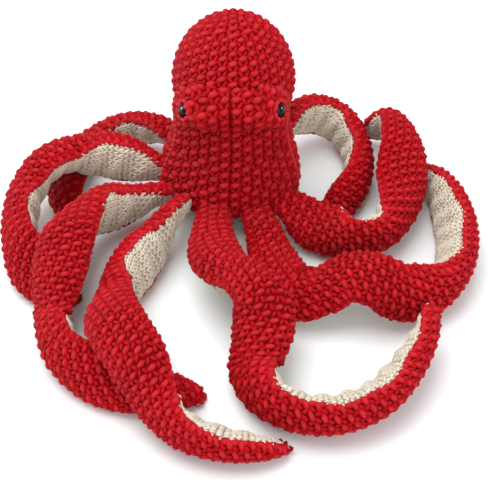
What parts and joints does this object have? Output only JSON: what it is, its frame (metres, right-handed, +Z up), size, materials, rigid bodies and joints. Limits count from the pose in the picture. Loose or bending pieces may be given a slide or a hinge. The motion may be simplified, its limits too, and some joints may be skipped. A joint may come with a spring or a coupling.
{
  "type": "knitted octopus soft toy",
  "caption": "Stuffed hand-knitted octopus soft toy: a domed mantle that nods on a blunt-faced body with bead eyes, and curling arms with red backs and cream undersides that lift at the root",
  "frame": {"origin": "the middle of the flat cream base, on the floor", "axes": "+Z up, the face looks along -Y, +X to the right of someone who faces the toy"},
  "size_m": [0.2172, 0.2083, 0.0963],
  "materials": {
    "red_knit": "thick red moss-stitch knitting, matt, with a soft halo of fibres",
    "cream_knit": "finer cream knitting, matt",
    "wadding": "white polyester wadding",
    "eye_bead": "polished black",
    "washer": "cloudy nylon"
  },
  "bodies": {
    "body": {"face_panel_left": "red_knit", "face_panel_right": "red_knit", "back_panel": "red_knit", "base_panel": "cream_knit", "body_stuffing": "wadding", "eye_bead_left": "eye_bead", "eye_bead_right": "eye_bead", "eye_washer_left": "washer", "eye_washer_right": "washer"},
    "mantle": {"mantle_shell": "red_knit", "mantle_stuffing": "wadding"},
    "arm_front_left": {"arm_front_left_back": "red_knit", "arm_front_left_under": "cream_knit", "arm_front_left_stuffing": "wadding"},
    "arm_left": {"arm_left_back": "red_knit", "arm_left_under": "cream_knit", "arm_left_stuffing": "wadding"},
    "arm_rear_left": {"arm_rear_left_back": "red_knit", "arm_rear_left_under": "cream_knit", "arm_rear_left_stuffing": "wadding"},
    "arm_back_left": {"arm_back_left_back": "red_knit", "arm_back_left_under": "cream_knit", "arm_back_left_stuffing": "wadding"},
    "arm_front_middle": {"arm_front_middle_back": "red_knit", "arm_front_middle_under": "cream_knit", "arm_front_middle_stuffing": "wadding"},
    "arm_front_right": {"arm_front_right_back": "red_knit", "arm_front_right_under": "cream_knit", "arm_front_right_stuffing": "wadding"},
    "arm_right": {"arm_right_back": "red_knit", "arm_right_under": "cream_knit", "arm_right_stuffing": "wadding"},
    "arm_back_right": {"arm_back_right_back": "red_knit", "arm_back_right_under": "cream_knit", "arm_back_right_stuffing": "wadding"}
  },
  "joints": [
    {"name": "mantle_nod", "type": "hinge", "parent": "body", "child": "mantle", "pos_m": [0, 0.012, 0.066], "axis": [1, 0, 0], "range_deg": [-12, 12], "stiffness_Nm_per_rad": 0.05},
    {"name": "front_left_lift", "type": "hinge", "parent": "body", "child": "arm_front_left", "pos_m": [-0.024, -0.027, 0.025], "axis": [-0.9981, 0.062, 0], "range_deg": [0, 20]},
    {"name": "left_lift", "type": "hinge", "parent": "body", "child": "arm_left", "pos_m": [-0.031, -0.014, 0.025], "axis": [-0.9282, 0.3721, 0], "range_deg": [0, 17]},
    {"name": "rear_left_lift", "type": "hinge", "parent": "body", "child": "arm_rear_left", "pos_m": [-0.033, 0.0045, 0.025], "axis": [-0.5293, 0.8484, 0], "range_deg": [0, 13]},
    {"name": "back_left_lift", "type": "hinge", "parent": "body", "child": "arm_back_left", "pos_m": [-0.025, 0.025, 0.021], "axis": [-0.132, 0.9912, 0], "range_deg": [0, 9]},
    {"name": "front_middle_lift", "type": "hinge", "parent": "body", "child": "arm_front_middle", "pos_m": [-0.009, -0.026, 0.023], "axis": [-0.8751, -0.484, 0], "range_deg": [0, 24]},
    {"name": "front_right_lift", "type": "hinge", "parent": "body", "child": "arm_front_right", "pos_m": [0.011, -0.026, 0.021], "axis": [-0.2921, -0.9564, 0], "range_deg": [0, 20]},
    {"name": "right_lift", "type": "hinge", "parent": "body", "child": "arm_right", "pos_m": [0.026, -0.018, 0.021], "axis": [0.2961, -0.9552, 0], "range_deg": [0, 20]},
    {"name": "back_right_lift", "type": "hinge", "parent": "body", "child": "arm_back_right", "pos_m": [0.024, 0.026, 0.022], "axis": [-0.3279, -0.9447, 0], "range_deg": [0, 40]}
  ],
  "couplings": [
    {"joint": "left_lift", "follows": "front_left_lift", "ratio": 0.85},
    {"joint": "rear_left_lift", "follows": "front_left_lift", "ratio": 0.65},
    {"joint": "back_left_lift", "follows": "front_left_lift", "ratio": 0.45},
    {"joint": "front_middle_lift", "follows": "front_right_lift", "ratio": 1.2},
    {"joint": "right_lift", "follows": "front_right_lift", "ratio": 1}
  ]
}
